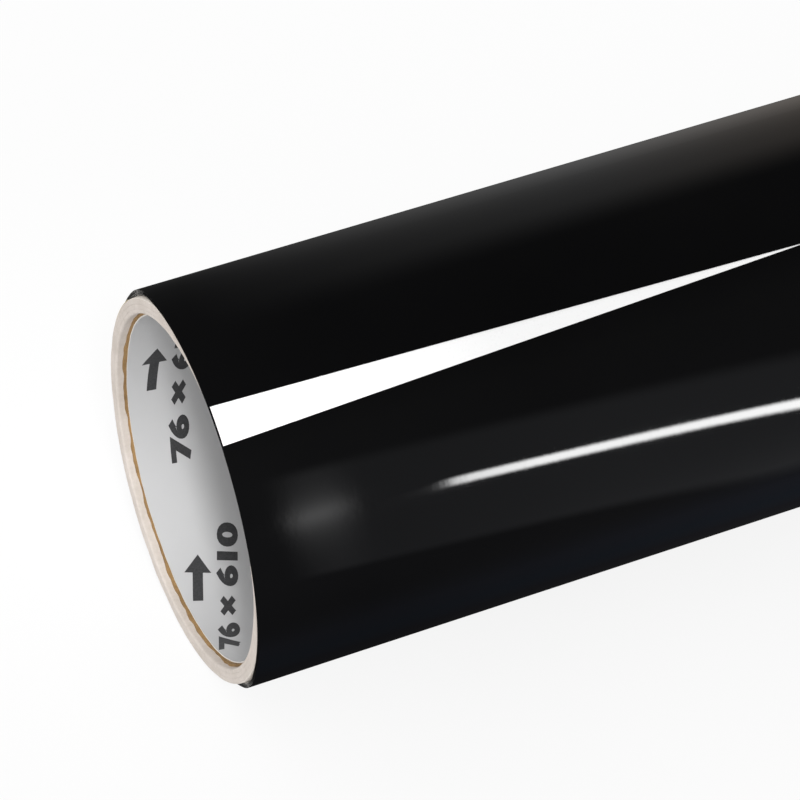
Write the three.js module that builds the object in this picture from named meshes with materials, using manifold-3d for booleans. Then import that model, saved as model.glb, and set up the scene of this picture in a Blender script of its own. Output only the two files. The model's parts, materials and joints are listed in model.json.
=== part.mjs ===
// A short roll of self-adhesive sign vinyl: a film on a release liner, wound on a cardboard core.
// Millimetres, +Z up. The roll lies on the floor plane with its axis along X.
// Angles are in degrees about that axis, from +Y (far side) over +Z (top) to -Y (near side).
import * as THREE from 'three';
import { mergeVertices } from 'three/addons/utils/BufferGeometryUtils.js';
import Module from 'manifold-3d';

const wasm = await Module();
wasm.setup();

// Core: a three-inch tube wound from paper plies, cut to the width of the web.
const BORE_RADIUS = 38.1;
const ROLL_LENGTH = 609.6;
const GLUE_LINE = 0.02;
const LINING_THICKNESS = 0.25;
const LINING_SETBACK = 1.8;
const KRAFT_THICKNESS = 0.55;
const BOARD_THICKNESS = 1.05;
const BOARD_PLIES = 3;
const FACING_THICKNESS = 0.26;

// Web: the film with its adhesive coat on a coated paper liner.
const LINER_THICKNESS = 0.14;
const ADHESIVE_COAT = 0.02;
const FILM_THICKNESS = 0.1;
const WRAP_GAP = 0.02;
const WINDING_PITCH = LINER_THICKNESS + ADHESIVE_COAT + FILM_THICKNESS + WRAP_GAP;
const WEB_PROUD = 1;
const WEB_START = 22.5;
const FULL_TURN = 360;
const WOUND_TURNS = 4;

// Tape that starts the web on the core.
const TAPE_THICKNESS = 0.1;
const TAPE_ON_CORE = 10;
const TAPE_UNDER_WEB = 20;
const START_GAP = 0.12;

// Tail: the free end of the web, lifted about one line and peeled about another.
const TAIL_HINGE = 62.5;
const PEEL_HINGE = 77.5;
const SHELL_END = 132.5;
const BUTT_GAP = 0.05;

// The knife cuts at the free end, as points along the roll: distance from the left end, and angle.
const CUT_VIEW_ANGLE = 110;
const CUT_MEETS_AT = 138;
const LINER_CUT_LEFT = 127.2;
const LINER_CUT_RIGHT = 98;
const FILM_CUT_LEFT = 115.8;
const CUTTER_REACH = 60;
const CUTTER_OVERRUN = 5;

// Every round surface has the same facets, one of them flat on the floor.
const FACET = 5;
const FIRST_FACET = 2.5;
const MERGE_TOLERANCE = 1e-4;

const CORE_RADIUS = BORE_RADIUS + LINING_THICKNESS + KRAFT_THICKNESS + FACING_THICKNESS
  + BOARD_PLIES * BOARD_THICKNESS + (BOARD_PLIES + 2) * GLUE_LINE;
const LEFT_END = -ROLL_LENGTH / 2;
const TAIL_TURN = WOUND_TURNS * FULL_TURN;

const radians = THREE.MathUtils.degToRad;

// Inner radius of the liner after winding to this total angle.
function webRadius(angle) {
  return CORE_RADIUS + START_GAP + WINDING_PITCH * (angle - WEB_START) / FULL_TURN;
}

const FILM_OFFSET = LINER_THICKNESS + ADHESIVE_COAT;
const LAST_FACET_DOWN = 270 + FACET / 2 + (WOUND_TURNS - 1) * FULL_TURN;
const AXIS_HEIGHT = (webRadius(LAST_FACET_DOWN) + FILM_OFFSET + FILM_THICKNESS)
  * Math.cos(radians(FACET / 2));

function material(color, roughness) {
  return new THREE.MeshStandardMaterial({ color, roughness, metalness: 0 });
}

function linerMaterial() {
  return material(0xf6f6f4, 0.4);
}

function filmMaterial() {
  return material(0x090909, 0.06);
}

function piece(name, geometry, look) {
  const mesh = new THREE.Mesh(geometry, look);
  mesh.name = name;
  return mesh;
}

// A geometry drawn in X-Y and extruded along Z, turned so that it runs along the roll's axis:
// drawn X becomes +Y, drawn Y becomes +Z and the extrusion becomes +X.
function alongRoll(geometry, start) {
  const turn = new THREE.Matrix4().makeBasis(
    new THREE.Vector3(0, 1, 0), new THREE.Vector3(0, 0, 1), new THREE.Vector3(1, 0, 0));
  geometry.applyMatrix4(turn);
  geometry.translate(start, 0, AXIS_HEIGHT);
  return geometry;
}

function polar(radius, angle) {
  return new THREE.Vector2(radius * Math.cos(radians(angle)), radius * Math.sin(radians(angle)));
}

// The angles from start to end that lie on facet corners, with both ends added.
function facetAngles(start, end) {
  const angles = [start];
  const first = Math.floor((start - FIRST_FACET) / FACET + 1) * FACET + FIRST_FACET;
  for (let angle = first; angle < end; angle += FACET) {
    if (angle > start) angles.push(angle);
  }
  angles.push(end);
  return angles;
}

// A sheet of constant thickness wound along a radius law. width is its size along the roll.
function windingStrip(radiusAt, thickness, start, end, left, width) {
  const angles = facetAngles(start, end);
  const inner = angles.map((angle) => polar(radiusAt(angle), angle));
  const outer = angles.map((angle) => polar(radiusAt(angle) + thickness, angle)).reverse();
  const shape = new THREE.Shape([...inner, ...outer]);
  return alongRoll(new THREE.ExtrudeGeometry(shape, { depth: width, bevelEnabled: false }), left);
}

function tube(innerRadius, thickness, length) {
  const corners = facetAngles(FIRST_FACET, FIRST_FACET + FULL_TURN - FACET);
  const shape = new THREE.Shape(corners.map((angle) => polar(innerRadius + thickness, angle)));
  shape.holes.push(new THREE.Path(corners.map((angle) => polar(innerRadius, angle)).reverse()));
  return alongRoll(
    new THREE.ExtrudeGeometry(shape, { depth: length, bevelEnabled: false }), -length / 2);
}

function toManifold(geometry) {
  const bare = new THREE.BufferGeometry();
  bare.setAttribute('position', geometry.getAttribute('position'));
  const merged = mergeVertices(bare, MERGE_TOLERANCE);
  return new wasm.Manifold(new wasm.Mesh({
    numProp: 3,
    vertProperties: merged.getAttribute('position').array,
    triVerts: new Uint32Array(merged.index.array),
  }));
}

function fromManifold(solid) {
  const mesh = solid.getMesh();
  const geometry = new THREE.BufferGeometry();
  geometry.setAttribute('position', new THREE.BufferAttribute(mesh.vertProperties, 3));
  geometry.setIndex(new THREE.BufferAttribute(mesh.triVerts, 1));
  return geometry;
}

// Height across the cut view of a surface angle on the tail.
function cutHeight(angle) {
  return webRadius(TAIL_TURN + CUT_VIEW_ANGLE) * Math.sin(radians(angle - CUT_VIEW_ANGLE));
}

// Trims what lies past a knife line, given as [distance from the left end, angle] points.
function trimmed(geometry, line) {
  const first = line[0];
  const last = line[line.length - 1];
  const shape = new THREE.Shape([
    new THREE.Vector2(-CUTTER_OVERRUN, CUTTER_REACH),
    new THREE.Vector2(-CUTTER_OVERRUN, cutHeight(first[1])),
    ...line.map(([along, angle]) => new THREE.Vector2(along, cutHeight(angle))),
    new THREE.Vector2(ROLL_LENGTH + CUTTER_OVERRUN, cutHeight(last[1])),
    new THREE.Vector2(ROLL_LENGTH + CUTTER_OVERRUN, CUTTER_REACH),
  ]);
  const waste = new THREE.ExtrudeGeometry(shape, { depth: CUTTER_REACH, bevelEnabled: false });
  const start = polar(CUTTER_REACH, CUT_VIEW_ANGLE);
  const onward = polar(1, CUT_VIEW_ANGLE + 90);
  const inward = polar(1, CUT_VIEW_ANGLE + 180);
  waste.applyMatrix4(new THREE.Matrix4().makeBasis(
    new THREE.Vector3(1, 0, 0),
    new THREE.Vector3(0, onward.x, onward.y),
    new THREE.Vector3(0, inward.x, inward.y)));
  waste.translate(LEFT_END - WEB_PROUD, start.x, AXIS_HEIGHT + start.y);
  return fromManifold(toManifold(geometry).subtract(toManifold(waste)));
}

const LINER_CUT = [[0, LINER_CUT_LEFT], [ROLL_LENGTH, LINER_CUT_RIGHT]];

// The angle of the liner's straight cut where the film's own cut runs into it.
function linerCutAngle(along) {
  const share = along / ROLL_LENGTH;
  const height = (1 - share) * cutHeight(LINER_CUT_LEFT) + share * cutHeight(LINER_CUT_RIGHT);
  const radius = webRadius(TAIL_TURN + CUT_VIEW_ANGLE);
  return CUT_VIEW_ANGLE + THREE.MathUtils.radToDeg(Math.asin(height / radius));
}

const FILM_CUT = [
  [0, FILM_CUT_LEFT],
  [CUT_MEETS_AT, linerCutAngle(CUT_MEETS_AT)],
  [ROLL_LENGTH, LINER_CUT_RIGHT],
];

function linerStrip(start, end) {
  return windingStrip(
    webRadius, LINER_THICKNESS, start, end, LEFT_END - WEB_PROUD, ROLL_LENGTH);
}

function filmStrip(start, end) {
  return windingStrip(
    (angle) => webRadius(angle) + FILM_OFFSET, FILM_THICKNESS, start, end,
    LEFT_END - WEB_PROUD, ROLL_LENGTH);
}

function coreLining(radius) {
  return piece('core_lining', tube(radius, LINING_THICKNESS, ROLL_LENGTH - 2 * LINING_SETBACK),
    material(0xb4b4b6, 0.42));
}

function coreKraftPly(radius) {
  return piece('core_kraft_ply', tube(radius, KRAFT_THICKNESS, ROLL_LENGTH),
    material(0xa0845f, 0.85));
}

function coreBoardPly(number, radius) {
  return piece(`core_board_ply_${number}`, tube(radius, BOARD_THICKNESS, ROLL_LENGTH),
    material(0xd2c8bf, 0.9));
}

function coreFacingPly(radius) {
  return piece('core_facing_ply', tube(radius, FACING_THICKNESS, ROLL_LENGTH),
    material(0xdbd3cb, 0.8));
}

// Tape laid along the core, partly under the start of the web.
function coreTape() {
  const radius = CORE_RADIUS + (START_GAP - TAPE_THICKNESS) / 2;
  const strip = windingStrip(
    () => radius, TAPE_THICKNESS, WEB_START - TAPE_ON_CORE, WEB_START + TAPE_UNDER_WEB,
    LEFT_END, ROLL_LENGTH);
  return piece('core_tape', strip, material(0xe6dcc2, 0.5));
}

function releaseLiner() {
  return piece('release_liner', linerStrip(WEB_START, TAIL_TURN + TAIL_HINGE), linerMaterial());
}

function vinylFilm() {
  return piece('vinyl_film', filmStrip(WEB_START, TAIL_TURN + TAIL_HINGE), filmMaterial());
}

function releaseLinerTail() {
  const strip = linerStrip(TAIL_TURN + TAIL_HINGE + BUTT_GAP, TAIL_TURN + SHELL_END);
  return piece('release_liner_tail', trimmed(strip, LINER_CUT), linerMaterial());
}

function vinylFilmTail() {
  const strip = filmStrip(TAIL_TURN + TAIL_HINGE + BUTT_GAP, TAIL_TURN + PEEL_HINGE);
  return piece('vinyl_film_tail', strip, filmMaterial());
}

function vinylFilmPeelEdge() {
  const strip = filmStrip(TAIL_TURN + PEEL_HINGE + BUTT_GAP, TAIL_TURN + SHELL_END);
  return piece('vinyl_film_peel_edge', trimmed(strip, FILM_CUT), filmMaterial());
}

function core() {
  const group = new THREE.Group();
  let radius = BORE_RADIUS;
  group.add(coreLining(radius));
  radius += LINING_THICKNESS + GLUE_LINE;
  group.add(coreKraftPly(radius));
  radius += KRAFT_THICKNESS + GLUE_LINE;
  for (let number = 1; number <= BOARD_PLIES; number += 1) {
    group.add(coreBoardPly(number, radius));
    radius += BOARD_THICKNESS + GLUE_LINE;
  }
  group.add(coreFacingPly(radius));
  group.add(coreTape());
  return group;
}

function woundWeb() {
  const group = new THREE.Group();
  group.add(releaseLiner(), vinylFilm());
  return group;
}

function tail() {
  const group = new THREE.Group();
  group.add(releaseLinerTail(), vinylFilmTail(), vinylFilmPeelEdge());
  return group;
}

const roll = new THREE.Group();
roll.add(core(), woundWeb(), tail());

export default roll;
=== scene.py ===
"""A short roll of glossy black sign vinyl on its cardboard core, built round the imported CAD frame.

Metres, +Z up, the roll's axis along X. Angles are in degrees about that axis, from +Y over +Z to
-Y, and a total angle counts the turns as well.
"""
import json
import math

import bmesh
import bpy
import numpy as np
from mathutils import Matrix, Vector, noise


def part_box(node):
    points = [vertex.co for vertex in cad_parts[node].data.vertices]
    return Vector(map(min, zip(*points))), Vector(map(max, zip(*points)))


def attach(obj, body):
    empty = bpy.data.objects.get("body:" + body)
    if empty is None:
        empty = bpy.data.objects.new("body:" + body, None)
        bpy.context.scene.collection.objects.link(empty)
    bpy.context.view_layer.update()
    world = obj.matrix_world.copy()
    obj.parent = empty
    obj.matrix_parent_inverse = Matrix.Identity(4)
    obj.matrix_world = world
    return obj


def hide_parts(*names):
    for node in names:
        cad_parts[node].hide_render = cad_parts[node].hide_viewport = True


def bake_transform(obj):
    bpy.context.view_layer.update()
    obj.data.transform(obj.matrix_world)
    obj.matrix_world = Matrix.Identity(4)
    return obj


MM = 0.001
TURN = 360.0

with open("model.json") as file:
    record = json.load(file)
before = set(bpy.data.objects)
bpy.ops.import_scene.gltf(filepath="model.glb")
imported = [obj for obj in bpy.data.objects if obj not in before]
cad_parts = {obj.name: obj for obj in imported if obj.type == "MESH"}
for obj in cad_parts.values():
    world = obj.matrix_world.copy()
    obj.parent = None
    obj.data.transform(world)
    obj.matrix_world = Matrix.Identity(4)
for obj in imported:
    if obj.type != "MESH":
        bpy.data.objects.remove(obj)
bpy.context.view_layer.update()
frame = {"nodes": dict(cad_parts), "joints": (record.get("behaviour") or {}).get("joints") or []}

# ---------------------------------------------------------------- places taken from the frame

LINING_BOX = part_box("core_lining")
BOARD_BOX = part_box("core_board_ply_1")
WEB_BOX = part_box("vinyl_film")
AXIS_Z = (LINING_BOX[0].z + LINING_BOX[1].z) / 2
CORE_LEFT, CORE_RIGHT = BOARD_BOX[0].x, BOARD_BOX[1].x
WEB_LEFT, WEB_RIGHT = WEB_BOX[0].x, WEB_BOX[1].x
ROLL_LENGTH = CORE_RIGHT - CORE_LEFT


def radii(node):
    """The least and greatest distance of a CAD node's corners from the roll's axis."""
    points = np.array([v.co for v in frame["nodes"][node].data.vertices])
    distance = np.hypot(points[:, 1], points[:, 2] - AXIS_Z)
    return distance.min(), distance.max()


def hinge_angle(name):
    """The angle about the roll's axis of a hinge line in the web."""
    joint = next(j for j in frame["joints"] if j["name"] == name)
    _, y, z = joint["pos_m"]
    return math.degrees(math.atan2(z - AXIS_Z, y))


TAIL_HINGE = hinge_angle("tail_lift")
PEEL_HINGE = hinge_angle("film_peel")
BORE_RADIUS = radii("core_lining")[0]
CORE_RADIUS = radii("core_facing_ply")[1]

# ---------------------------------------------------------------- the wound web

LINER_THICKNESS = 0.14 * MM
FILM_THICKNESS = 0.10 * MM
ADHESIVE_COAT = 0.02 * MM
WEB_START = 22.5
WOUND_TURNS = 4
TAIL_TURN = WOUND_TURNS * TURN
LINER_START_RADIUS = radii("release_liner")[0]
FILM_OFFSET = LINER_THICKNESS + ADHESIVE_COAT
WEB_THICKNESS = FILM_OFFSET + FILM_THICKNESS
WINDING_PITCH = (
    (radii("vinyl_film")[1] - WEB_THICKNESS - LINER_START_RADIUS)
    * TURN / (TAIL_TURN + TAIL_HINGE - WEB_START))
# The layers' heights above the liner's inner face. The film's layer holds its adhesive coat.
LAYER_HEIGHTS = {
    "liner": (0, LINER_THICKNESS),
    "film": (LINER_THICKNESS, WEB_THICKNESS),
}
# The liner was slit a hair narrower than the film, so the film hides its edges.
EDGE_SETBACK = {"liner": 0.3 * MM, "film": 0}

# How far the web's left edge stands out past the core, by angle: the web sits askew on the core.
OVERHANG_MEAN = -0.8 * MM
OVERHANG_SWING = 2.1 * MM
OVERHANG_TOWARDS = 135.0
# Places where the edge is pushed in: angle, reach in degrees, and depth.
EDGE_DENTS = ((41.0, 24.0, 1.1 * MM), (238.0, 22.0, 1.5 * MM))
# The left end was cut a little out of square, so it slopes back towards the far top side.
END_SLOPE = (0.0191, 0.0199)

# The knife cuts at the free end: how far along the film's cut meets the liner's, and their angles.
CUT_MEETS_AT = 138 * MM
LINER_CUT_LEFT, LINER_CUT_RIGHT = 127.2, 98.0
FILM_CUT_LEFT = 115.8

# How high the web's faint waves stand, and how far one turn's edge strays from its neighbours.
RIPPLE_HEIGHT = 0.006 * MM
EDGE_CREEP = 0.05 * MM

# Degrees round the roll between the rows of a mesh, and shares along it of the columns.
STATION = 2.5
FINE_STATION = 1.25
NUDGE = 1e-3
END_SHARES = (0, 0.0005, 0.002, 0.005)
MIDDLE_FROM, MIDDLE_COUNT = 0.01, 37
LINER_TAIL_ROWS, PEEL_EDGE_ROWS = 49, 33
SHARP_FROM = 40.0


def web_radius(angle):
    """Inner radius of the liner after winding to this total angle."""
    return LINER_START_RADIUS + WINDING_PITCH * (angle - WEB_START) / TURN


def liner_cut(along):
    """Angle of the liner's straight cut, by distance from the left end."""
    return LINER_CUT_LEFT + (LINER_CUT_RIGHT - LINER_CUT_LEFT) * along / (WEB_RIGHT - WEB_LEFT)


def film_cut(along):
    """Angle of the film's cut: set back at the left corner, then level with the liner's."""
    share = along / CUT_MEETS_AT
    corner = FILM_CUT_LEFT + (liner_cut(CUT_MEETS_AT) - FILM_CUT_LEFT) * share
    return np.where(share < 1, corner, liner_cut(along))


def ripple(x, angle):
    """Height of the web's faint waves, which are never below the round, at a place on the roll."""
    turn = np.radians(angle)
    waves = (
        np.sin(37 * x + 2 * np.sin(turn)) * np.cos(3 * turn + 11 * x)
        + 0.6 * np.sin(71 * x + 5 * turn) * np.cos(2 * turn)
        + 0.4 * np.sin(18 * x - 7 * turn + 1.3))
    return RIPPLE_HEIGHT * (2 + waves)


def edge_creep(angle, phase):
    """How far one turn's edge strays from its neighbours, by total angle."""
    turn = np.radians(angle)
    return EDGE_CREEP * (
        np.sin(0.37 * turn + phase) + 0.7 * np.sin(0.83 * turn + 2 * phase)
        + 0.3 * np.sin(3.1 * turn + 3 * phase))


def end_slope(y, z):
    """How far the sloping left end lies to the right of a square one."""
    return END_SLOPE[0] * y + END_SLOPE[1] * (z - AXIS_Z)


def dents(angle):
    """How far the web's left edge is pushed in, by angle."""
    depth = 0
    for middle, reach, deepest in EDGE_DENTS:
        fall = 1 - np.cos(np.radians(angle - middle))
        depth = depth + deepest * np.exp(-fall / (1 - math.cos(math.radians(reach))))
    return depth


def left_edge(angle):
    """Where the web's left edge is on a square end, by total angle."""
    overhang = OVERHANG_MEAN + OVERHANG_SWING * np.cos(np.radians(angle - OVERHANG_TOWARDS))
    return CORE_LEFT - overhang + dents(angle) + edge_creep(angle, 0.4)


def right_edge(angle):
    return WEB_RIGHT + edge_creep(angle, 2.1)


# ---------------------------------------------------------------- mesh building

def new_object(name, mesh):
    obj = bpy.data.objects.new(name, mesh)
    bpy.context.scene.collection.objects.link(obj)
    return obj


def stations(start, end, step=STATION):
    """Angles from start to end, evenly spaced and about a step apart."""
    count = max(2, int(round((end - start) / step)) + 1)
    return np.linspace(start, end, count)


def along_stations():
    """Shares along the roll: close together near both ends, with one where the cuts meet."""
    near = np.array(END_SHARES)
    middle = np.linspace(MIDDLE_FROM, 1 - MIDDLE_FROM, MIDDLE_COUNT)
    meeting = CUT_MEETS_AT / (WEB_RIGHT - WEB_LEFT)
    return np.sort(np.concatenate([near, middle, 1 - near, [meeting]]))


def finish_mesh(name, points, faces, materials, face_materials):
    mesh = bpy.data.meshes.new(name)
    mesh.from_pydata(points.tolist(), [], faces.tolist())
    mesh.update()
    for material in materials:
        mesh.materials.append(material)
    mesh.polygons.foreach_set("material_index", face_materials)
    mesh.polygons.foreach_set("use_smooth", np.ones(len(faces), bool))
    return mesh


def sheet_mesh(name, surface, steps, shares, materials):
    """A closed thin sheet. surface(step, share, side) gives points, side 0 inner and 1 outer.

    The materials are those of the outer face, the inner face and the edges. The faces take their
    normals from the surface itself, so sheets that butt shade as one."""
    sides, normals = [], []
    down, across = steps[:, None], shares[None, :]
    for side in (0, 1):
        points = surface(down, across, side)
        round_way = surface(down + NUDGE, across, side) - surface(down - NUDGE, across, side)
        normal = np.cross(round_way, np.gradient(points, axis=1)) * (1 if side else -1)
        normals.append((normal / np.linalg.norm(normal, axis=2, keepdims=True)).reshape(-1, 3))
        sides.append(points.reshape(-1, 3))
    rows, columns = len(steps), len(shares)
    count = rows * columns
    index = np.arange(count).reshape(rows, columns)
    a, b = index[:-1, :-1].ravel(), index[:-1, 1:].ravel()
    c, d = index[1:, 1:].ravel(), index[1:, :-1].ravel()
    outer = np.stack([a, d, c, b], axis=1) + count
    inner = np.stack([a, b, c, d], axis=1)
    border = np.concatenate([
        index[0, :], index[1:, -1], index[-1, -2::-1], index[-2:0:-1, 0], index[:1, 0]])
    rim = np.stack([border[1:], border[:-1], border[:-1] + count, border[1:] + count], axis=1)
    kinds = np.repeat([0, 1, 2], [len(outer), len(inner), len(rim)])
    mesh = finish_mesh(
        name, np.concatenate(sides), np.concatenate([outer, inner, rim]), materials, kinds)
    set_sheet_normals(mesh, np.concatenate(normals), kinds)
    return mesh


def set_sheet_normals(mesh, point_normals, kinds):
    """Gives the two faces their own smooth normals, and leaves the edges flat."""
    loop_vertex = np.zeros(len(mesh.loops), np.int32)
    mesh.loops.foreach_get("vertex_index", loop_vertex)
    loop_normal = point_normals[loop_vertex]
    face_normal = np.zeros(3 * len(kinds))
    mesh.polygons.foreach_get("normal", face_normal)
    edges = np.repeat(kinds == 2, 4)
    loop_normal[edges] = np.repeat(face_normal.reshape(-1, 3), 4, axis=0)[edges]
    mesh.normals_split_custom_set(loop_normal.tolist())


def ring_mesh(name, profile, materials, step=STATION, place=None, kinds=None):
    """A closed ring turned from a closed profile of (x, radius) points.

    The profile runs inwards on the left end, rightwards in the bore, and back along the outside.
    place moves the points, and kinds gives the material of each stretch of the profile."""
    angles = np.radians(np.arange(0, TURN, step))
    profile = np.array(profile)
    x = np.repeat(profile[None, :, 0], len(angles), axis=0)
    radius = np.repeat(profile[None, :, 1], len(angles), axis=0)
    angle = np.repeat(angles[:, None], len(profile), axis=1)
    if place:
        x, radius = place(x, radius, angle)
    points = np.stack([x, radius * np.cos(angle), AXIS_Z + radius * np.sin(angle)], axis=2)
    points[:, :, 0] += end_slope(points[:, :, 1], points[:, :, 2]) * (CORE_RIGHT - x) / ROLL_LENGTH
    index = np.arange(x.size).reshape(x.shape)
    following = np.roll(index, -1, axis=1)
    faces = np.stack([
        index, following, np.roll(following, -1, axis=0), np.roll(index, -1, axis=0)], axis=2)
    each = np.zeros(len(profile), int) if kinds is None else np.array(kinds)
    mesh = finish_mesh(
        name, points.reshape(-1, 3), faces.reshape(-1, 4), materials, np.tile(each, len(angles)))
    mesh.set_sharp_from_angle(angle=math.radians(SHARP_FROM))
    return mesh


def fibre(points, size, seed):
    """Cloudy noise of about -1 to 1 with lumps of this size, at points of shape (..., 3)."""
    flat = points.reshape(-1, 3) / size + seed
    values = [noise.noise(Vector(p)) for p in flat]
    return np.array(values).reshape(points.shape[:-1])


# ---------------------------------------------------------------- materials

def add(tree, kind, inputs=(), **settings):
    """A new node with these settings. inputs gives sockets their values, or what feeds them."""
    made = tree.nodes.new(kind)
    for key, value in settings.items():
        setattr(made, key, value)
    for socket, value in dict(inputs).items():
        if isinstance(value, bpy.types.NodeSocket):
            tree.links.new(value, made.inputs[socket])
        else:
            made.inputs[socket].default_value = value
    return made


def math_of(tree, operation, first, second=0.0):
    return add(tree, "ShaderNodeMath", {0: first, 1: second}, operation=operation).outputs[0]


def times(tree, *values):
    product = values[0]
    for value in values[1:]:
        product = math_of(tree, "MULTIPLY", product, value)
    return product


def ramp_of(tree, value, low, high, to_low=0.0, to_high=1.0, smooth=False):
    """value taken from low..high to to_low..to_high, and clamped."""
    made = add(
        tree, "ShaderNodeMapRange",
        {"Value": value, "From Min": low, "From Max": high, "To Min": to_low, "To Max": to_high},
        interpolation_type="SMOOTHSTEP" if smooth else "LINEAR")
    return made.outputs["Result"]


def mix_of(tree, factor, first, second, blend="MIX"):
    made = add(
        tree, "ShaderNodeMix", {0: factor, 6: first, 7: second},
        data_type="RGBA", blend_type=blend)
    return made.outputs[2]


def noise_of(tree, scale, stretch=(1, 1, 1), detail=4.0, roughness=0.55):
    """Noise in the object's own space, with scale in lumps per metre and drawn out by stretch."""
    place = add(tree, "ShaderNodeTexCoord").outputs["Object"]
    scaled = add(
        tree, "ShaderNodeMapping",
        {"Vector": place, "Scale": tuple(1 / s for s in stretch)}).outputs["Vector"]
    made = add(
        tree, "ShaderNodeTexNoise",
        {"Vector": scaled, "Scale": scale, "Detail": detail, "Roughness": roughness})
    return made.outputs["Fac"]


def bump_of(tree, height, distance, strength=1.0, under=None):
    inputs = {"Height": height, "Distance": distance, "Strength": strength}
    if under is not None:
        inputs["Normal"] = under
    return add(tree, "ShaderNodeBump", inputs).outputs["Normal"]


def new_material(name, roughness, **fixed):
    """A Principled material with these fixed values, and its tree and shader."""
    material = bpy.data.materials.new(name)
    material.use_nodes = True
    shader = material.node_tree.nodes["Principled BSDF"]
    shader.inputs["Roughness"].default_value = roughness
    for socket, value in fixed.items():
        shader.inputs[socket.replace("_", " ")].default_value = value
    return material, material.node_tree, shader


def feed(tree, shader, **sockets):
    for socket, value in sockets.items():
        tree.links.new(value, shader.inputs[socket.replace("_", " ")])


# Where most of a noise's values lie, and where its few streaks do.
NOISE_SPAN = (0.3, 0.7)
STREAK_SPAN = (0.55, 0.8)
FILM_BLACKS = ((0.0014, 0.0014, 0.0016, 1), (0.0024, 0.0024, 0.0026, 1))
FILM_ROUGHNESS = (0.016, 0.032)
STREAK_ROUGHNESS = 0.015


def gloss_film():
    """Calendered black film: mirror-like, with faint orange peel, haze and machine streaks."""
    material, tree, shader = new_material("gloss_film", 0.025, IOR=1.5)
    haze = noise_of(tree, 28, detail=3)
    streaks = noise_of(tree, 900, stretch=(1, 60, 60), detail=2)
    color = mix_of(tree, haze, *FILM_BLACKS)
    hazy = ramp_of(tree, haze, *NOISE_SPAN, *FILM_ROUGHNESS)
    streaky = ramp_of(tree, streaks, *STREAK_SPAN, 0.0, STREAK_ROUGHNESS)
    rough = math_of(tree, "ADD", hazy, streaky)
    peel = bump_of(tree, noise_of(tree, 420, detail=2), 0.0016 * MM, 0.5)
    feed(tree, shader, Base_Color=color, Roughness=rough, Normal=peel)
    return material


def adhesive():
    """The film's grey pressure-sensitive adhesive, faintly textured by the liner."""
    material, tree, shader = new_material("film_adhesive", 0.3, IOR=1.47)
    cloud = noise_of(tree, 120)
    fine = noise_of(tree, 2600, detail=3)
    color = mix_of(tree, cloud, (0.13, 0.13, 0.135, 1), (0.17, 0.17, 0.172, 1))
    rough = ramp_of(tree, fine, *NOISE_SPAN, 0.22, 0.4)
    grain = bump_of(tree, fine, 0.01 * MM, 0.4)
    feed(tree, shader, Base_Color=color, Roughness=rough, Normal=grain)
    return material


def liner_face():
    """The liner's white silicone-coated side."""
    material, tree, shader = new_material("liner_release_face", 0.3, IOR=1.42)
    cloud = noise_of(tree, 60)
    fine = noise_of(tree, 1800, detail=3)
    color = mix_of(tree, cloud, (0.885, 0.885, 0.885, 1), (0.90, 0.90, 0.90, 1))
    rough = ramp_of(tree, fine, *NOISE_SPAN, 0.25, 0.36)
    grain = bump_of(tree, fine, 0.006 * MM, 0.3)
    feed(tree, shader, Base_Color=color, Roughness=rough, Normal=grain)
    return material


def paper(name, light, dark, roughness, grain=1400, depth=0.02):
    """Plain paper or board: cloudy in colour, with fibres grain to the metre and depth mm deep."""
    material, tree, shader = new_material(name, roughness)
    shader.inputs["Specular IOR Level"].default_value = 0.3
    cloud = noise_of(tree, 160, detail=5, roughness=0.65)
    fine = noise_of(tree, grain, detail=6, roughness=0.7)
    mottle = math_of(tree, "ADD", times(tree, cloud, 0.6), times(tree, fine, 0.4))
    color = mix_of(tree, ramp_of(tree, mottle, 0.34, 0.66), light, dark)
    rough = ramp_of(tree, fine, *NOISE_SPAN, roughness - 0.08, min(1.0, roughness + 0.06))
    fibres = bump_of(tree, fine, depth * MM, 0.7)
    feed(tree, shader, Base_Color=color, Roughness=rough, Normal=fibres)
    return material


def lining_paper():
    """Silver-grey coated paper, satin, with a faint grain round the bore."""
    material, tree, shader = new_material("silver_lining", 0.38)
    cloud = noise_of(tree, 45)
    grain = noise_of(tree, 1500, stretch=(1, 4, 4), detail=4)
    color = mix_of(tree, cloud, (0.53, 0.53, 0.534, 1), (0.59, 0.59, 0.594, 1))
    rough = ramp_of(tree, grain, *NOISE_SPAN, 0.32, 0.46)
    relief = bump_of(tree, grain, 0.01 * MM, 0.35)
    feed(tree, shader, Base_Color=color, Roughness=rough, Normal=relief)
    return material


def printing_ink():
    """Matte black ink, a little worn."""
    material, tree, shader = new_material("printing_ink", 0.4)
    fine = noise_of(tree, 2200)
    worn = ramp_of(tree, fine, 0.35, 0.65)
    color = mix_of(tree, worn, (0.036, 0.036, 0.038, 1), (0.058, 0.058, 0.06, 1))
    feed(tree, shader, Base_Color=color, Normal=bump_of(tree, fine, 0.004 * MM, 0.5))
    return material


def masking_tape():
    """Creped paper tape, its creases running along the roll."""
    material, tree, shader = new_material("masking_tape", 0.6)
    crepe = noise_of(tree, 1400, stretch=(8, 1, 1), detail=3)
    color = mix_of(tree, crepe, (0.74, 0.64, 0.42, 1), (0.82, 0.74, 0.54, 1))
    feed(tree, shader, Base_Color=color, Normal=bump_of(tree, crepe, 0.04 * MM, 0.8))
    return material


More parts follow.
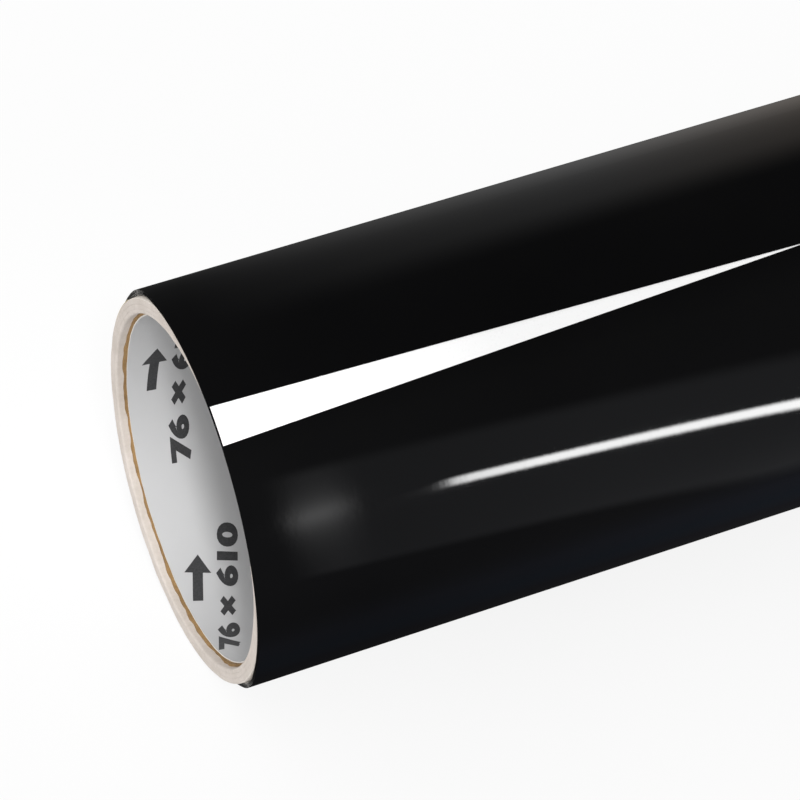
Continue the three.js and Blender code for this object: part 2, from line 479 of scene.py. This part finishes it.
GLOSS_FILM = gloss_film()
ADHESIVE = adhesive()
LINER_FACE = liner_face()
LINER_BACK = paper(
    "liner_paper_back", (0.90, 0.90, 0.885, 1), (0.84, 0.84, 0.82, 1), 0.75, 1800, 0.006)
BOARD = paper("core_board", (0.65, 0.59, 0.545, 1), (0.52, 0.465, 0.415, 1), 0.9)
KRAFT = paper("kraft_paper", (0.40, 0.25, 0.11, 1), (0.20, 0.12, 0.05, 1), 0.85)
FACING = paper(
    "core_facing", (0.74, 0.69, 0.63, 1), (0.64, 0.58, 0.52, 1), 0.7, 1800, 0.008)
PAPER_EDGE = paper("paper_edge", (0.86, 0.85, 0.83, 1), (0.74, 0.72, 0.69, 1), 0.85)
SILVER_LINING = lining_paper()
INK = printing_ink()
TAPE = masking_tape()

FILM_LOOKS = (GLOSS_FILM, ADHESIVE, GLOSS_FILM)
LINER_LOOKS = (LINER_FACE, LINER_BACK, PAPER_EDGE)

# ---------------------------------------------------------------- the core

END_ROUND_OUTSIDE = 0.6 * MM
END_ROUND_INSIDE = 0.5 * MM
PLY_GROOVE = 0.04 * MM
PLY_GROOVE_REACH = 0.09 * MM
KRAFT_SETBACK = 1.15 * MM
LINING_SETBACK = 2.3 * MM
BOARD_INSIDE = radii("core_board_ply_1")[0]
# Lumps of the worn board and the torn kraft paper: height, size and place in the noise.
WEAR_DEPTH = 0.06 * MM
WEAR_LUMPS = ((0.10 * MM, 6 * MM, 3.0), (0.05 * MM, 1.1 * MM, 9.0))
TEAR_LUMPS = ((0.5 * MM, 9 * MM, 5.0), (0.25 * MM, 2.2 * MM, 12.0))
# The lining's puckers, and the lap of its seam by share of one turn of the helix.
PUCKER_HEIGHT = 0.05 * MM
LAP_HEIGHT = 0.06 * MM
LAP_RISE, LAP_FALL, LAP_END = 0.01, 0.04, 0.05
SEAM_TURNS, SEAM_PHASE = 4, 0.35
# The lining's ragged cut: height of its slow waves and of its fine ones.
RAGGED_SLOW, RAGGED_FINE = 0.08 * MM, 0.03 * MM
SAME_PLACE = 1e-9
LINING_SHARES = np.concatenate([[0, 0.0008], np.linspace(0.004, 0.996, 90), [0.9992, 1]])


def rounding(depth, size):
    """How far an end is set back by a round of this size, this deep into the rounded corner."""
    inside = np.clip(depth, 0, size)
    return size - np.sqrt(size * size - inside * inside)


def end_setback(radius, inner, outer):
    """How far the core's worn end is set back at this radius, in the ply from inner to outer."""
    outside = rounding(radius - (CORE_RADIUS - END_ROUND_OUTSIDE), END_ROUND_OUTSIDE)
    inside = rounding(BOARD_INSIDE + END_ROUND_INSIDE - radius, END_ROUND_INSIDE)
    to_joint = np.minimum(radius - inner, outer - radius)
    return outside + inside + PLY_GROOVE * np.exp(-(to_joint / PLY_GROOVE_REACH) ** 2)


def ply_profile(inner, outer, count, cut_back):
    """The section of a ply: its worn left end, its inside, its right end and its outside."""
    swing = (1 - np.cos(np.linspace(0, math.pi, count))) / 2
    radius = outer + (inner - outer) * swing
    setback = cut_back + end_setback(radius, inner, outer)
    left = np.stack([CORE_LEFT + setback, radius], axis=1)
    right = np.stack([CORE_RIGHT - setback, radius], axis=1)[::-1]
    return np.concatenate([left, right])


def lumpy(points, lumps):
    """Fibrous noise of several sizes, each with its height, size and place in the noise."""
    return sum(height * fibre(points, size, seed) for height, size, seed in lumps)


def worn_ends(x, radius, angle):
    """Roughens a ply's ends with fibres."""
    points = np.stack([x, radius * np.cos(angle), radius * np.sin(angle)], axis=2)
    inward = np.where(x < 0, 1, -1)
    return x + inward * (WEAR_DEPTH + lumpy(points, WEAR_LUMPS)), radius


def torn_ends(x, radius, angle):
    """Roughens a thin ply's ends, torn unevenly round the bore."""
    x, radius = worn_ends(x, radius, angle)
    points = np.stack([0 * x, radius * np.cos(angle), radius * np.sin(angle)], axis=2)
    inward = np.where(x < 0, 1, -1)
    return x + inward * lumpy(points, TEAR_LUMPS), radius


def make_ply(name, node, material, count=10, cut_back=0.0, place=worn_ends):
    """One ply of the core, with count points across its end and its ends cut back this far."""
    inner, outer = radii(node)
    profile = ply_profile(inner, outer, count, cut_back)
    mesh = ring_mesh(name, profile, [material], FINE_STATION, place)
    ply = new_object(name, mesh)
    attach(ply, "roll")
    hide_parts(node)


def lining_bulge(x, angle):
    """How far the lining stands in from its round: shallow puckers, and its helical seam's lap."""
    turn = np.asarray(angle)
    pucker = (
        np.sin(2 * turn + 31 * x) * np.sin(47 * x + turn)
        + 0.6 * np.sin(5 * turn - 23 * x + 1) * np.cos(19 * x))
    wound_on = turn / (2 * math.pi) - SEAM_TURNS * (x - CORE_LEFT) / ROLL_LENGTH
    helix = (wound_on + SEAM_PHASE) % 1.0
    lap = np.clip(helix / LAP_RISE, 0, 1) * np.clip((LAP_END - helix) / LAP_FALL, 0, 1)
    return PUCKER_HEIGHT * (1.6 + pucker) / 2 + LAP_HEIGHT * lap


def make_lining():
    inner, outer = radii("core_lining")
    left, right = CORE_LEFT + LINING_SETBACK, CORE_RIGHT - LINING_SETBACK
    bore_x = left + (right - left) * LINING_SHARES
    bore = np.stack([bore_x, np.full(len(bore_x), inner)], axis=1)
    profile = np.concatenate([[(left, outer)], bore, [(right, outer)]])

    def place(x, radius, angle):
        slow = RAGGED_SLOW * np.sin(7 * angle) * np.sin(3 * angle + 1)
        ragged = slow + RAGGED_FINE * np.sin(41 * angle)
        at_end = (np.abs(x - left) < SAME_PLACE) | (np.abs(x - right) < SAME_PLACE)
        in_bore = radius < (inner + outer) / 2
        return x + at_end * ragged, radius - in_bore * lining_bulge(x, angle)

    kinds = np.zeros(len(profile), int)
    kinds[[0, -2]] = 1
    mesh = ring_mesh("lining_paper", profile, [SILVER_LINING, PAPER_EDGE], STATION, place, kinds)
    lining = new_object("lining_paper", mesh)
    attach(lining, "roll")
    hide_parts("core_lining")


TAPE_FROM, TAPE_TO = WEB_START - 10, WEB_START + 20
TAPE_SETBACK = 0.4 * MM
CREASE_DEPTH, CREASES = 0.012 * MM, 610
CREASE_STATION = 0.15
TAPE_SHARES = np.array([0, 0.002, 0.998, 1])


def make_tape():
    """The strip of tape that starts the web on the core."""
    inner, outer = radii("core_tape")

    def surface(step, share, side):
        x = CORE_LEFT + TAPE_SETBACK + share * (ROLL_LENGTH - 2 * TAPE_SETBACK) + 0 * step
        crease = CREASE_DEPTH * (1 + np.sin(np.radians(step) * CREASES))
        radius = (outer - crease if side else inner) + 0 * x
        turn = np.radians(step)
        y, z = radius * np.cos(turn), AXIS_Z + radius * np.sin(turn)
        return np.stack([x + end_slope(y, z) * (1 - share), y, z], axis=2)

    mesh = sheet_mesh(
        "starting_tape", surface, stations(TAPE_FROM, TAPE_TO, CREASE_STATION),
        TAPE_SHARES, (TAPE, TAPE, TAPE))
    tape = new_object("starting_tape", mesh)
    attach(tape, "roll")
    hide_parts("core_tape")


# ---------------------------------------------------------------- the print in the bore

PRINT_TEXT = "76 × 610"
PRINT_HEIGHT = 5.0 * MM
PRINT_LENGTH = 38 * MM
TYPE_SIZE, TYPE_BOLDNESS, TYPE_STEPS = 1.38 * PRINT_HEIGHT, 0.08 * PRINT_HEIGHT, 5
INK_THICKNESS = 0.03 * MM
INK_SUNK = 0.02 * MM
ARROW_LENGTH, ARROW_WIDTH = 12 * MM, 6 * MM
ARROW_NECK, ARROW_HEAD = 0.38 * ARROW_WIDTH, 0.75 * ARROW_WIDTH
ARROW_FROM = (18 * MM, 5.6 * MM)
CUTS_FROM, CUTS_TO, CUT_EVERY = -PRINT_LENGTH / 8, PRINT_LENGTH * 1.1, 1.6 * MM
WELD = 1e-7
# Each mark's start: angle round the bore, distance from the left end of its foot, and its slant.
MARKS = ((-113, 6.6 * MM, 21.0), (-35, 14.2 * MM, 7.0), (60, 22 * MM, 12.0), (150, 12 * MM, 12.0))
FAR_MARKS_IN = 42 * MM


def text_plate():
    """A flat mesh of the size numbers: along X, feet on X = 0, as bold as a printed label."""
    curve = bpy.data.curves.new("size_numbers", "FONT")
    curve.body = PRINT_TEXT
    curve.size = TYPE_SIZE
    curve.offset = TYPE_BOLDNESS
    curve.resolution_u = TYPE_STEPS
    text = new_object("size_numbers", curve)
    bpy.context.view_layer.update()
    evaluated = text.evaluated_get(bpy.context.evaluated_depsgraph_get())
    mesh = bpy.data.meshes.new_from_object(evaluated)
    bpy.data.objects.remove(text)
    made = bmesh.new()
    made.from_mesh(mesh)
    wide = max(v.co.x for v in made.verts) - min(v.co.x for v in made.verts)
    tall = max(v.co.y for v in made.verts) - min(v.co.y for v in made.verts)
    scale = Matrix.Diagonal((PRINT_LENGTH / wide, PRINT_HEIGHT / tall, 1, 1))
    bmesh.ops.transform(made, matrix=scale, verts=made.verts)
    return made


def add_arrow(made):
    """A plain arrow above the numbers, pointing the way that they read."""
    start, foot = ARROW_FROM
    half, neck = ARROW_WIDTH / 2, ARROW_NECK / 2
    middle = foot + half
    tip = start + ARROW_LENGTH
    head = tip - ARROW_HEAD
    outline = [
        (start, middle - neck), (head, middle - neck), (head, middle - half), (tip, middle),
        (head, middle + half), (head, middle + neck), (start, middle + neck)]
    made.faces.new([made.verts.new((u, v, 0)) for u, v in outline])


def print_slab():
    """The numbers and arrow as thin closed plates, cut across so that they can bend."""
    made = text_plate()
    add_arrow(made)
    bmesh.ops.remove_doubles(made, verts=made.verts, dist=WELD)
    for cut in np.arange(CUTS_FROM, CUTS_TO, CUT_EVERY):
        parts = list(made.verts) + list(made.edges) + list(made.faces)
        bmesh.ops.bisect_plane(
            made, geom=parts, dist=WELD, plane_co=(cut, 0, 0), plane_no=(1, 0, 0))
    bmesh.ops.triangulate(made, faces=made.faces)
    raised = bmesh.ops.extrude_face_region(made, geom=list(made.faces), use_keep_orig=True)
    tops = [item for item in raised["geom"] if isinstance(item, bmesh.types.BMVert)]
    bmesh.ops.translate(made, verts=tops, vec=(0, 0, INK_THICKNESS + INK_SUNK))
    bmesh.ops.recalc_face_normals(made, faces=made.faces)
    mesh = bpy.data.meshes.new("print_slab")
    made.to_mesh(mesh)
    made.free()
    return mesh


def wrapped_points(flat, start, foot, slant):
    """Flat print points laid on the lining. It reads round the bore, its top to the left."""
    lean = math.radians(slant)
    around = flat[:, 0] * math.cos(lean) + flat[:, 1] * math.sin(lean)
    x = CORE_LEFT + foot + flat[:, 0] * math.sin(lean) - flat[:, 1] * math.cos(lean)
    angle = math.radians(start) + around / BORE_RADIUS
    radius = BORE_RADIUS - lining_bulge(x, angle) + INK_SUNK - flat[:, 2]
    y, z = radius * np.cos(angle), AXIS_Z + radius * np.sin(angle)
    x = x + end_slope(y, z) * (CORE_RIGHT - x) / ROLL_LENGTH
    return np.stack([x, y, z], axis=1)


def in_fixed_order(mesh):
    """A mesh's corners and faces, sorted, because the cuts leave them in a new order each time.

    A face with four corners turns by two at a time, so that it keeps the diagonal it splits on."""
    points = [tuple(v.co) for v in mesh.vertices]
    order = sorted(range(len(points)), key=points.__getitem__)
    rank = {old: new for new, old in enumerate(order)}
    faces = []
    for face in mesh.polygons:
        corners = [rank[v] for v in face.vertices]
        step = 2 if len(corners) == 4 else 1
        first = min(range(0, len(corners), step), key=corners.__getitem__)
        faces.append(corners[first:] + corners[:first])
    return np.array([points[old] for old in order]), sorted(faces)


def make_print():
    """The marks at the left end, and the same at the right end."""
    slab = print_slab()
    flat, faces = in_fixed_order(slab)
    far = [(angle, foot + ROLL_LENGTH - FAR_MARKS_IN, slant) for angle, foot, slant in MARKS]
    for number, mark in enumerate([*MARKS, *far], start=1):
        name = f"lining_print_{number}"
        mesh = bpy.data.meshes.new(name)
        mesh.from_pydata(wrapped_points(flat, *mark).tolist(), [], faces)
        mesh.materials.append(INK)
        mesh.update()
        printed = new_object(name, mesh)
        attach(printed, "roll")
    bpy.data.meshes.remove(slab)


# ---------------------------------------------------------------- the web

def web_surface(layer, angle_at):
    """The surface of one layer of the web, whose angle comes from a step and a distance along."""
    low, high = LAYER_HEIGHTS[layer]
    setback = EDGE_SETBACK[layer]

    def surface(step, share, side):
        angle = angle_at(step, share * (WEB_RIGHT - WEB_LEFT))
        left, right = left_edge(angle) + setback, right_edge(angle) - setback
        x = left + share * (right - left)
        radius = web_radius(angle) + (high if side else low) + ripple(x, angle)
        turn = np.radians(angle)
        y, z = radius * np.cos(turn), AXIS_Z + radius * np.sin(turn)
        return np.stack([x + end_slope(y, z) * (1 - share), y, z], axis=2)

    return surface


def wound(step, along):
    return step + 0 * along


def up_to(start, cut):
    """Angles from a start to a knife cut, by a step from 0 to 1."""
    return lambda step, along: start + step * (cut(along) - start)


def make_web_piece(name, layer, node, angle_at, steps):
    looks = LINER_LOOKS if layer == "liner" else FILM_LOOKS
    mesh = sheet_mesh(name, web_surface(layer, angle_at), steps, along_stations(), looks)
    piece = new_object(name, mesh)
    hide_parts(node)
    return piece


def bend(piece):
    """Bakes a piece's place into its mesh points; the piece is not bent."""
    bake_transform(piece)


def make_wound_web():
    steps = stations(WEB_START, TAIL_TURN + TAIL_HINGE)
    liner = make_web_piece("wound_liner", "liner", "release_liner", wound, steps)
    film = make_web_piece("wound_film", "film", "vinyl_film", wound, steps)
    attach(liner, "roll")
    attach(film, "roll")


def make_tail():
    """The last part of the web: the liner, the film on it, and the film's edge that peels off."""
    hinge, peel = TAIL_TURN + TAIL_HINGE, TAIL_TURN + PEEL_HINGE
    to_liner_cut = up_to(hinge, lambda along: TAIL_TURN + liner_cut(along))
    to_film_cut = up_to(peel, lambda along: TAIL_TURN + film_cut(along))
    liner = make_web_piece(
        "liner_tail", "liner", "release_liner_tail", to_liner_cut,
        np.linspace(0, 1, LINER_TAIL_ROWS))
    film = make_web_piece(
        "film_tail", "film", "vinyl_film_tail", wound, stations(hinge, peel, FINE_STATION))
    edge = make_web_piece(
        "film_peel_edge", "film", "vinyl_film_peel_edge", to_film_cut,
        np.linspace(0, 1, PEEL_EDGE_ROWS))
    bend(liner)
    bend(film)
    bend(edge)


def make_core():
    make_lining()
    make_ply(
        "kraft_ply", "core_kraft_ply", KRAFT, count=8, cut_back=KRAFT_SETBACK,
        place=torn_ends)
    for number in (1, 2, 3):
        make_ply(f"board_ply_{number}", f"core_board_ply_{number}", BOARD)
    make_ply("facing_ply", "core_facing_ply", FACING, count=6)
    make_tape()
    make_print()


make_core()
make_wound_web()
make_tail()

# ---------------------------------------------------------------- floor, light and camera

DAYLIGHT = 1.06
FLOOR_SIZE = 12.0
FLOOR_GLOW = 0.88
FLOOR_WHITE, FLOOR_SHADE = 0.10, 0.098


def make_floor():
    """A matte white floor with a soft shadow, too matte to show in the gloss."""
    material = bpy.data.materials.new("studio_floor")
    material.use_nodes = True
    tree = material.node_tree
    shader = tree.nodes["Principled BSDF"]
    shader.inputs["Roughness"].default_value = 1.0
    shader.inputs["Specular IOR Level"].default_value = 0.0
    shader.inputs["Emission Color"].default_value = (1, 1, 1, 1)
    shader.inputs["Emission Strength"].default_value = FLOOR_GLOW
    white, shade = (*[FLOOR_WHITE] * 3, 1), (*[FLOOR_SHADE] * 3, 1)
    feed(tree, shader, Base_Color=mix_of(tree, noise_of(tree, 3), white, shade))
    half = FLOOR_SIZE / 2
    corners = [(-half, -half, 0), (half, -half, 0), (half, half, 0), (-half, half, 0)]
    mesh = bpy.data.meshes.new("floor")
    mesh.from_pydata(corners, [], [(0, 1, 2, 3)])
    mesh.materials.append(material)
    floor = new_object("floor", mesh)
    floor.visible_glossy = False


# What the gloss reflects, by the angle round the roll's axis from -Y (0) over +Z (90) to +Y (180).
STUDIO_ROUND = (
    (-150, (0.037, 0.037, 0.037)), (-120, (0.013, 0.013, 0.014)), (-103, (0.02, 0.02, 0.024)),
    (-86, (0.032, 0.04, 0.055)), (-71, (0.055, 0.06, 0.08)), (-52, (0.06, 0.06, 0.065)),
    (0, (0.075, 0.075, 0.08)), (52, (0.065, 0.065, 0.065)), (65, (0.05, 0.05, 0.05)),
    (78, (0.032, 0.032, 0.032)), (116, (0.032, 0.032, 0.032)), (140, (0.03, 0.03, 0.03)))
# The studio's parts are placed by the same angle, and by "along", which is a direction's part along
# the roll, from -1 to 1. A pair of places is where something starts and where it is full, and a
# pair of levels is its value at each. The film shows the camera what is near MAIN_VIEW_ALONG.
MAIN_VIEW_ALONG = 0.335

# The low part of the studio, brighter to the right.
LOW_WALL_ROUND = (-20, -55)
LOW_WALL_ALONG, LOW_WALL_GAIN = (0.30, 0.40), (-0.25, 0.4)

# The far wall, by tilt from +Y over +Z: from its top, from its foot, and along.
FAR_WALL_TOP, FAR_WALL_FOOT = (56, 28), (-55, -5)
FAR_WALL_ALONG, FAR_WALL_LIGHT = (0.28, 0.43), 0.29
FAR_WALL_WARMS, FAR_WALL_TINT = (0.37, 0.425), (1.0, 0.87, 0.76, 1)

# The long softbox lies between two planes through the centre: behind the upper one, whose softness
# is less than 0 for that, and before the lower one. Low down the upper one no longer counts.
SOFTBOX_UPPER, UPPER_SOFTNESS = (0.8848, 0.4414, 0.1493), -0.024
SOFTBOX_LOWER, LOWER_SOFTNESS = (0.919, 0.1333, 0.3711), 0.012
LOW_FROM, LOW_TO = (-5, -12), (-66, -54)
SOFTBOX_STARTS = (0.283, 0.297)
SOFTBOX_BRIGHTENS, SOFTBOX_LEVEL = (0.31, 0.355), (0.11, 0.165)
SOFTBOX_TINT = (0.97, 1.0, 1.06, 1)

# The lamp that glows through the softbox's left end.
GLOW_STARTS, GLOW_ENDS = (0.2835, 0.292), (0.3055, 0.295)
GLOW_ROUND, GLOW_ROUND_SPREAD = math.radians(10.3), math.radians(7.4)
GLOW_LIGHT = 1.3

# The strip light, in a plane through the centre. Its tip brightens fast to a share, then slowly.
STRIP_PLANE = (0.8994, 0.3344, 0.2816)
STRIP_ACROSS = (0.0172, 0.004)
STRIP_NARROWS, STRIP_NARROWING = (0.34, 0.41), (1.0, 1.2)
STRIP_TIP, STRIP_TIP_SHARE = (0.3221, 0.3263), 0.82
STRIP_GROWS = (0.3263, 0.345)
STRIP_ENDS = (0.50, 0.43)
STRIP_ROUND = (40, 30)
STRIP_LIGHT = 21.0

# Softboxes along the studio's ceiling: middle and half width in degrees round, and light. They are
# beyond a distance along from what the camera sees.
CEILING_BOXES = (
    (38, 3.0, 1.6), (66, 7.0, 3.2), (122, 9.0, 2.2), (164, 10.0, 0.4), (-24, 4.0, 0.5))
CEILING_BOX_EDGE = 1.5
CEILING_BEYOND = (0.12, 0.2)


def off_plane(tree, direction, normal):
    """How far a direction is from a plane through the centre, less than 0 on its back."""
    side = add(tree, "ShaderNodeVectorMath", {0: direction, 1: normal}, operation="DOT_PRODUCT")
    return side.outputs["Value"]


def plane_side(tree, direction, normal, soft):
    """0 to 1 across a plane through the centre, softly."""
    return ramp_of(tree, off_plane(tree, direction, normal), -soft, soft, smooth=True)


def ramp_round(tree, angle, degrees, smooth=True):
    """0 to 1 from one angle to another."""
    return ramp_of(tree, angle, *map(math.radians, degrees), smooth=smooth)


def apart(tree, first, second):
    return math_of(tree, "ABSOLUTE", math_of(tree, "SUBTRACT", first, second))


def grey_of(tree, level):
    return add(tree, "ShaderNodeCombineColor", {0: level, 1: level, 2: level}).outputs[0]


def add_grey(tree, light, level):
    return mix_of(tree, 1.0, light, grey_of(tree, level), "ADD")


def add_tinted(tree, light, level, tint):
    tinted = mix_of(tree, 1.0, tint, grey_of(tree, level), "MULTIPLY")
    return mix_of(tree, 1.0, light, tinted, "ADD")


def studio_reflection(tree, direction):
    """The studio as the gloss sees it, from the direction of a ray."""
    parts = add(tree, "ShaderNodeSeparateXYZ", {0: direction}).outputs
    along, away, up = parts["X"], parts["Y"], parts["Z"]
    angle = math_of(tree, "ARCTAN2", up, times(tree, away, -1))
    light = studio_walls(tree, along, angle)
    light = add_far_wall(tree, along, away, up, light)
    face = softbox_face(tree, direction, angle)
    light = add_softbox(tree, face, along, light)
    light = add_glow(tree, face, along, angle, light)
    light = add_strip(tree, direction, along, angle, light)
    return add_ceiling(tree, along, angle, light)


def studio_walls(tree, along, angle):
    """The dim studio round the roll, its low part brighter towards the right."""
    share = ramp_of(tree, angle, -math.pi, math.pi)
    ramp = add(tree, "ShaderNodeValToRGB", {0: share})
    elements = ramp.color_ramp.elements
    while len(elements) < len(STUDIO_ROUND):
        elements.new(0.5)
    for element, (at, color) in zip(elements, STUDIO_ROUND):
        element.position = (at + TURN / 2) / TURN
        element.color = (*color, 1)
    low = ramp_round(tree, angle, LOW_WALL_ROUND)
    rise = ramp_of(tree, along, *LOW_WALL_ALONG, *LOW_WALL_GAIN)
    gain = math_of(tree, "ADD", times(tree, low, rise), 1.0)
    return mix_of(tree, 1.0, ramp.outputs["Color"], grey_of(tree, gain), "MULTIPLY")


def add_far_wall(tree, along, away, up, light):
    """The pale far wall, brighter and warmer to the right, that rims the top of the roll."""
    tilt = math_of(tree, "ARCTAN2", up, away)
    below_top = ramp_round(tree, tilt, FAR_WALL_TOP)
    above_foot = ramp_round(tree, tilt, FAR_WALL_FOOT)
    level = ramp_of(tree, along, *FAR_WALL_ALONG, 0.0, FAR_WALL_LIGHT)
    tint = mix_of(tree, ramp_of(tree, along, *FAR_WALL_WARMS), (1, 1, 1, 1), FAR_WALL_TINT)
    return add_tinted(tree, light, times(tree, below_top, above_foot, level), tint)


def softbox_face(tree, direction, angle):
    """1 within the long softbox on the near side, which lies between two planes."""
    upper = plane_side(tree, direction, SOFTBOX_UPPER, UPPER_SOFTNESS)
    lower = plane_side(tree, direction, SOFTBOX_LOWER, LOWER_SOFTNESS)
    low = times(
        tree, ramp_round(tree, angle, LOW_FROM, smooth=False),
        ramp_round(tree, angle, LOW_TO, smooth=False))
    return times(tree, math_of(tree, "MAXIMUM", upper, low), lower)


def add_softbox(tree, face, along, light):
    """The dim softbox, which starts softly and is brighter to the right."""
    starts = ramp_of(tree, along, *SOFTBOX_STARTS, smooth=True)
    level = ramp_of(tree, along, *SOFTBOX_BRIGHTENS, *SOFTBOX_LEVEL)
    return add_tinted(tree, light, times(tree, face, starts, level), SOFTBOX_TINT)


def add_glow(tree, face, along, angle, light):
    """The soft glow of a lamp through the softbox, with long tails up and down."""
    starts = ramp_of(tree, along, *GLOW_STARTS, smooth=True)
    ends = ramp_of(tree, along, *GLOW_ENDS, smooth=True)
    spreads = math_of(tree, "DIVIDE", apart(tree, angle, GLOW_ROUND), GLOW_ROUND_SPREAD)
    fall = math_of(tree, "ADD", times(tree, spreads, spreads), 1.0)
    peak = math_of(tree, "DIVIDE", GLOW_LIGHT, fall)
    return add_grey(tree, light, times(tree, face, starts, ends, peak))


def add_strip(tree, direction, along, angle, light):
    """A straight strip light beside the roll."""
    narrowing = ramp_of(tree, along, *STRIP_NARROWS, *STRIP_NARROWING)
    off = math_of(tree, "ABSOLUTE", off_plane(tree, direction, STRIP_PLANE))
    across = ramp_of(tree, times(tree, off, narrowing), *STRIP_ACROSS, smooth=True)
    tip = ramp_of(tree, along, *STRIP_TIP, 0, STRIP_TIP_SHARE)
    growth = ramp_of(tree, along, *STRIP_GROWS, 0, 1 - STRIP_TIP_SHARE)
    starts = math_of(tree, "ADD", tip, growth)
    ends = ramp_of(tree, along, *STRIP_ENDS, smooth=True)
    near_side = ramp_round(tree, math_of(tree, "ABSOLUTE", angle), STRIP_ROUND, smooth=False)
    return add_grey(tree, light, times(tree, across, starts, ends, near_side, STRIP_LIGHT))


def add_ceiling(tree, along, angle, light):
    """Softboxes along the ceiling, beyond what the roll shows to the camera."""
    beyond = ramp_of(tree, apart(tree, along, MAIN_VIEW_ALONG), *CEILING_BEYOND, smooth=True)
    for middle, half, level in CEILING_BOXES:
        off = apart(tree, angle, math.radians(middle))
        box = ramp_round(tree, off, (half + CEILING_BOX_EDGE, half))
        light = add_grey(tree, light, times(tree, box, beyond, level))
    return light


def make_world():
    """Even white light all round, and a darker studio for the gloss to reflect."""
    world = bpy.data.worlds.new("studio")
    bpy.context.scene.world = world
    world.use_nodes = True
    tree = world.node_tree
    tree.nodes.clear()
    direction = add(tree, "ShaderNodeTexCoord").outputs["Generated"]
    white = add(tree, "ShaderNodeBackground", {"Color": (1, 1, 1, 1), "Strength": DAYLIGHT})
    studio = add(tree, "ShaderNodeBackground", {"Color": studio_reflection(tree, direction)})
    glossy = add(tree, "ShaderNodeLightPath").outputs["Is Glossy Ray"]
    mixed = add(
        tree, "ShaderNodeMixShader", {0: glossy, 1: white.outputs[0], 2: studio.outputs[0]})
    add(tree, "ShaderNodeOutputWorld", {"Surface": mixed.outputs[0]})


KEY_FROM = (-0.2, -0.7, 0.68)
KEY_DISTANCE = 0.6
KEY_AIM = (-4 * MM, 9 * MM, -12 * MM)
KEY_BEAM, KEY_BEAM_SOFTNESS = 8.4, 0.6
KEY_RADIUS = 0.05
KEY_POWER = 17.0


def make_key_light():
    """A soft spot that reaches just inside the bore's left end, and does not show in the gloss."""
    data = bpy.data.lights.new("key_light", "SPOT")
    data.energy = KEY_POWER
    data.spot_size = math.radians(KEY_BEAM)
    data.spot_blend = KEY_BEAM_SOFTNESS
    data.shadow_soft_size = KEY_RADIUS
    key = bpy.data.objects.new("key_light", data)
    bpy.context.scene.collection.objects.link(key)
    back = Vector(KEY_FROM).normalized()
    aim = Vector((CORE_LEFT, 0, AXIS_Z)) + Vector(KEY_AIM)
    key.location = aim + back * KEY_DISTANCE
    key.rotation_mode = "QUATERNION"
    key.rotation_quaternion = (-back).to_track_quat("-Z", "Y")
    key.visible_camera = False
    key.visible_glossy = False


CAMERA_AIM = (51.0 * MM, 0.0, 7.0 * MM)
CAMERA_AZIMUTH, CAMERA_ELEVATION = -25.08, 41.26
CAMERA_DISTANCE = 0.9279
CAMERA_LENS, CAMERA_SENSOR = 194.4, 36
CAMERA_CLIP = (0.01, 100)


def make_camera():
    """A long lens looking down at the roll's left end."""
    data = bpy.data.cameras.new("camera")
    data.lens = CAMERA_LENS
    data.sensor_width = CAMERA_SENSOR
    data.clip_start, data.clip_end = CAMERA_CLIP
    camera = bpy.data.objects.new("camera", data)
    bpy.context.scene.collection.objects.link(camera)
    turn, rise = math.radians(CAMERA_AZIMUTH), math.radians(CAMERA_ELEVATION)
    level = math.cos(rise)
    back = Vector((math.sin(turn) * level, -math.cos(turn) * level, math.sin(rise)))
    aim = Vector((CORE_LEFT, 0, AXIS_Z)) + Vector(CAMERA_AIM)
    camera.location = aim + back * CAMERA_DISTANCE
    camera.rotation_mode = "QUATERNION"
    camera.rotation_quaternion = (-back).to_track_quat("-Z", "Y")
    bpy.context.scene.camera = camera


make_floor()
make_world()
make_key_light()
make_camera()
bpy.context.scene.view_settings.view_transform = "Standard"
